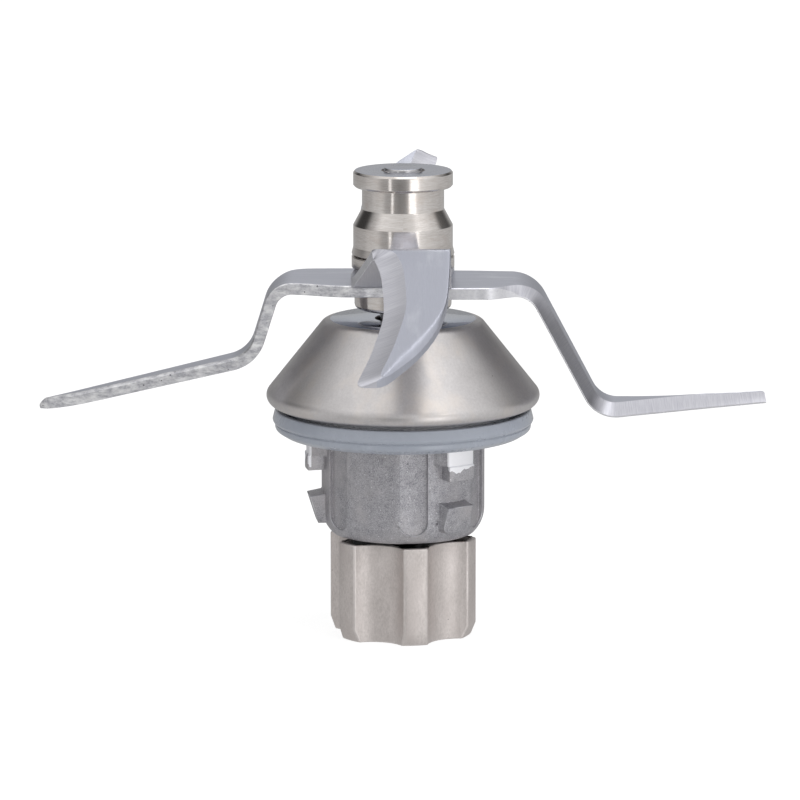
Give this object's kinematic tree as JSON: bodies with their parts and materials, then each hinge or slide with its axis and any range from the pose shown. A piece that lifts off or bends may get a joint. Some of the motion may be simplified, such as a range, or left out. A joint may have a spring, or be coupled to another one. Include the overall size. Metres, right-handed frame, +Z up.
{
  "type": "blender blade",
  "caption": "Jar blender mixing-knife unit: bent ground blades and an accessory hub on a spindle, in a keyed bearing housing with cone cover, seal ring and star drive coupling.",
  "frame": {"origin": "spindle axis at the flat bottom of the drive coupling, where the unit stands", "axes": "+Z up along the spindle, +X along the longer lower-blade arm, -Y towards the arm that folds down over the cone"},
  "size_m": [0.1251, 0.1122, 0.0813],
  "materials": {
    "spindle_steel": "ground",
    "hub_steel": "polished turned stainless",
    "blade_steel": "satin, ground edges",
    "cone_steel": "satin spun stainless",
    "silicone": "translucent grey silicone",
    "die_casting": "grainy as cast",
    "coupling_steel": "warm satin stainless",
    "core_plastic": "black moulded",
    "bearing_steel": "ground",
    "ball_steel": "polished",
    "cage_steel": "pressed",
    "spring_steel": "blued",
    "seal_rubber": "black moulded",
    "fastener_steel": "bright"
  },
  "bodies": {
    "housing": {"bearing_housing": "die_casting", "cone_cover": "cone_steel", "seal_ring": "silicone", "seal_seat": "fastener_steel", "seal_case": "fastener_steel", "shaft_seal": "seal_rubber", "garter_spring": "spring_steel", "housing_circlip": "spring_steel", "lower_outer_race": "bearing_steel", "lower_bearing_bottom_shield": "fastener_steel", "lower_bearing_top_shield": "fastener_steel", "upper_outer_race": "bearing_steel", "upper_bearing_bottom_shield": "fastener_steel", "upper_bearing_top_shield": "fastener_steel"},
    "rotor": {"spindle": "spindle_steel", "hub_knob": "hub_steel", "clamp_ring": "hub_steel", "upper_blade": "blade_steel", "lower_blade": "blade_steel", "blade_seat_collar": "hub_steel", "bearing_spacer": "fastener_steel", "lower_shaft_circlip": "spring_steel", "upper_shaft_circlip": "spring_steel", "coupling_cup": "coupling_steel", "coupling_core": "core_plastic", "coupling_washer": "fastener_steel", "coupling_screw": "fastener_steel", "lower_inner_race": "bearing_steel", "upper_inner_race": "bearing_steel"},
    "lower_ball_set": {"lower_bearing_balls": "ball_steel", "lower_ball_cage": "cage_steel"},
    "upper_ball_set": {"upper_bearing_balls": "ball_steel", "upper_ball_cage": "cage_steel"}
  },
  "joints": [
    {"name": "blade_spin", "type": "hinge", "parent": "housing", "child": "rotor", "pos_m": [0, 0, 0.0303], "axis": [0, 0, 1], "continuous": true},
    {"name": "lower_balls_roll", "type": "hinge", "parent": "housing", "child": "lower_ball_set", "pos_m": [0, 0, 0.0235], "axis": [0, 0, 1], "continuous": true},
    {"name": "upper_balls_roll", "type": "hinge", "parent": "housing", "child": "upper_ball_set", "pos_m": [0, 0, 0.0371], "axis": [0, 0, 1], "continuous": true}
  ],
  "couplings": [
    {"joint": "lower_balls_roll", "follows": "blade_spin", "ratio": 0.3667},
    {"joint": "upper_balls_roll", "follows": "blade_spin", "ratio": 0.3667}
  ]
}
